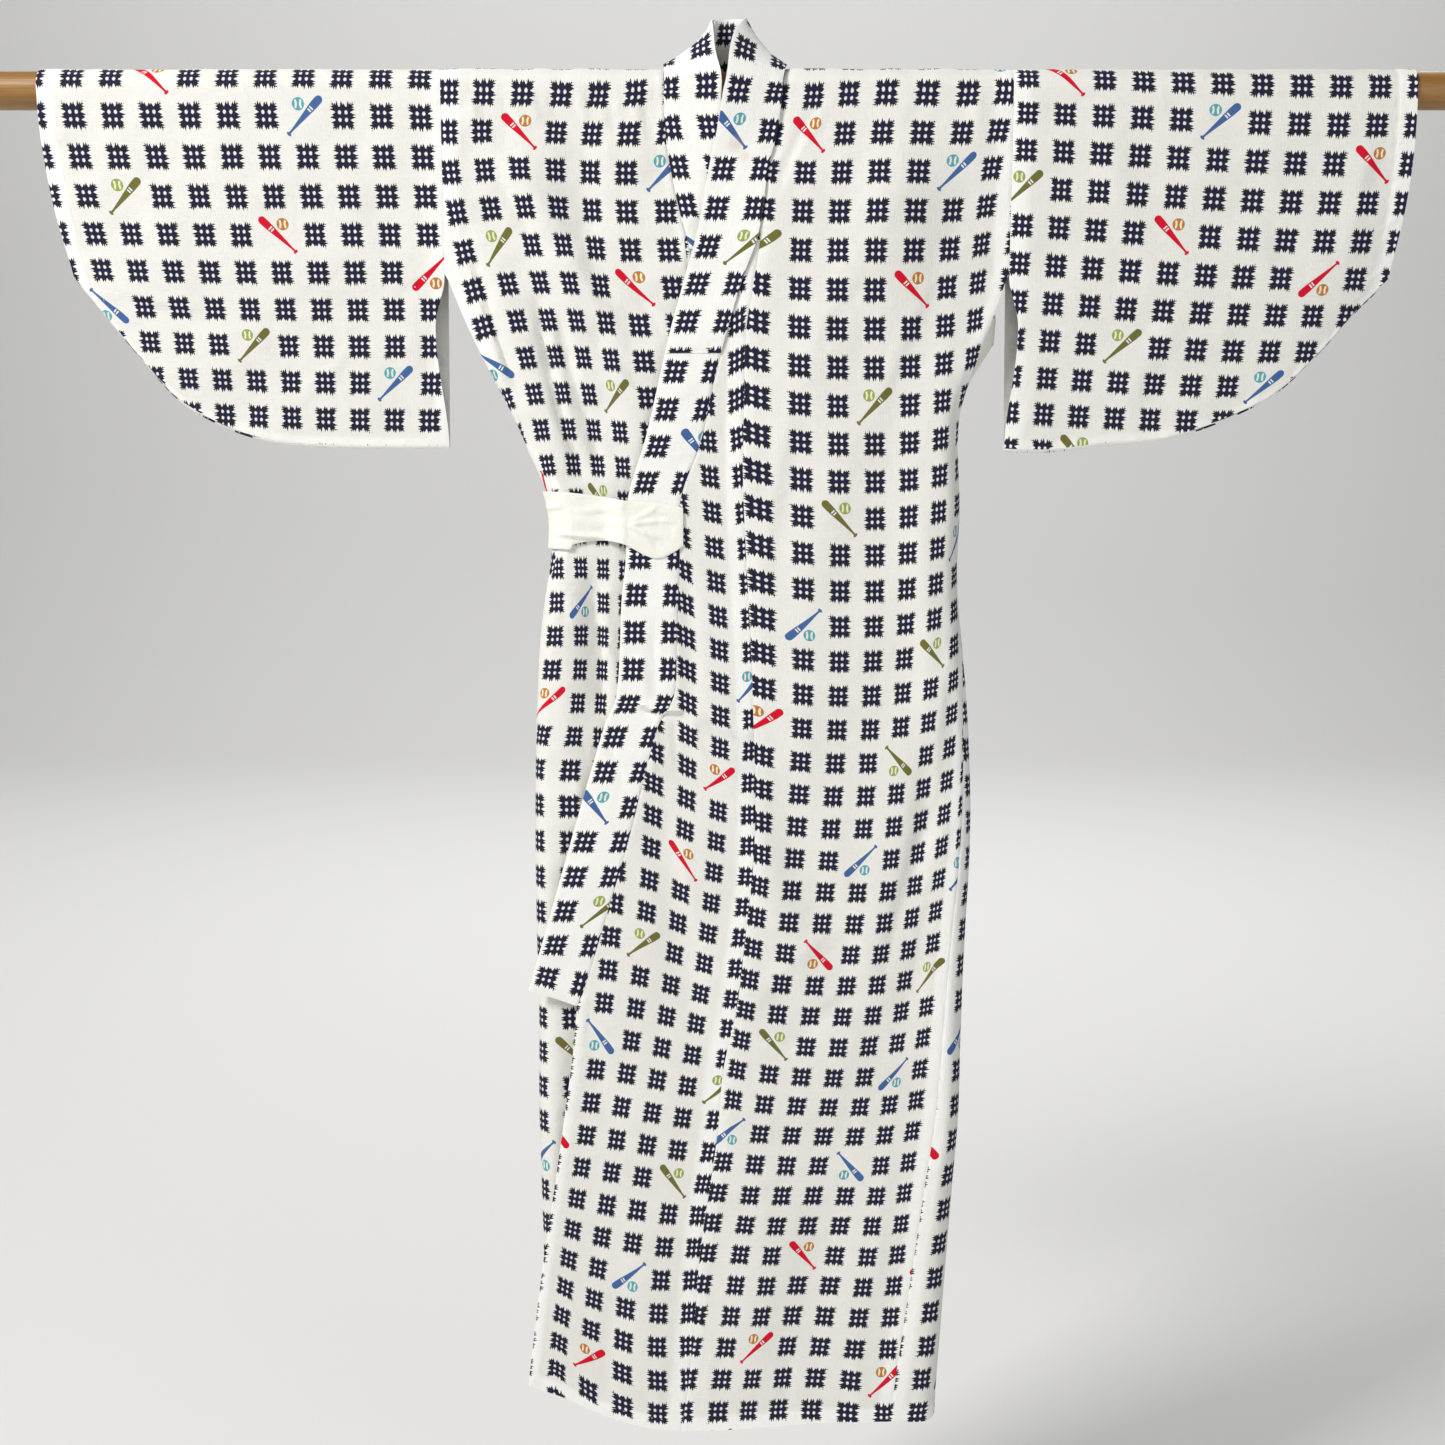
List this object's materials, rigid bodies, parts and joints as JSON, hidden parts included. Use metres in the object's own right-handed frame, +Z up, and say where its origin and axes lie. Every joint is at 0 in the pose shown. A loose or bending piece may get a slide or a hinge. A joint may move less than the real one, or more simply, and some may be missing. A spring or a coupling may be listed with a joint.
{
  "type": "cotton yukata robe hung on a wooden rod",
  "caption": "Child's white cotton yukata with a small indigo crossed-line print and scattered toy motifs, wrapped and tied, hung by its sleeves on a round wooden rod.",
  "frame": {"origin": "middle of the wooden rod, on its axis", "axes": "+X along the rod towards the wearer's left, +Z up, the wearer's front faces -Y"},
  "size_m": [1.3, 0.0621, 1.2021],
  "materials": {
    "cotton_print": "matte",
    "cotton_ivory": "matte",
    "rod_wood": "satin"
  },
  "bodies": {
    "root": {"rod": "rod_wood", "body_left": "cotton_print", "body_right": "cotton_print", "okumi_left": "cotton_print", "okumi_right": "cotton_print", "collar": "cotton_print", "over_collar": "cotton_print", "sleeve_left": "cotton_print", "sleeve_right": "cotton_print", "tie_outer": "cotton_ivory", "tie_inner": "cotton_ivory", "tie_knot": "cotton_ivory", "tie_tail_outer": "cotton_ivory", "tie_tail_inner": "cotton_ivory"}
  },
  "joints": []
}
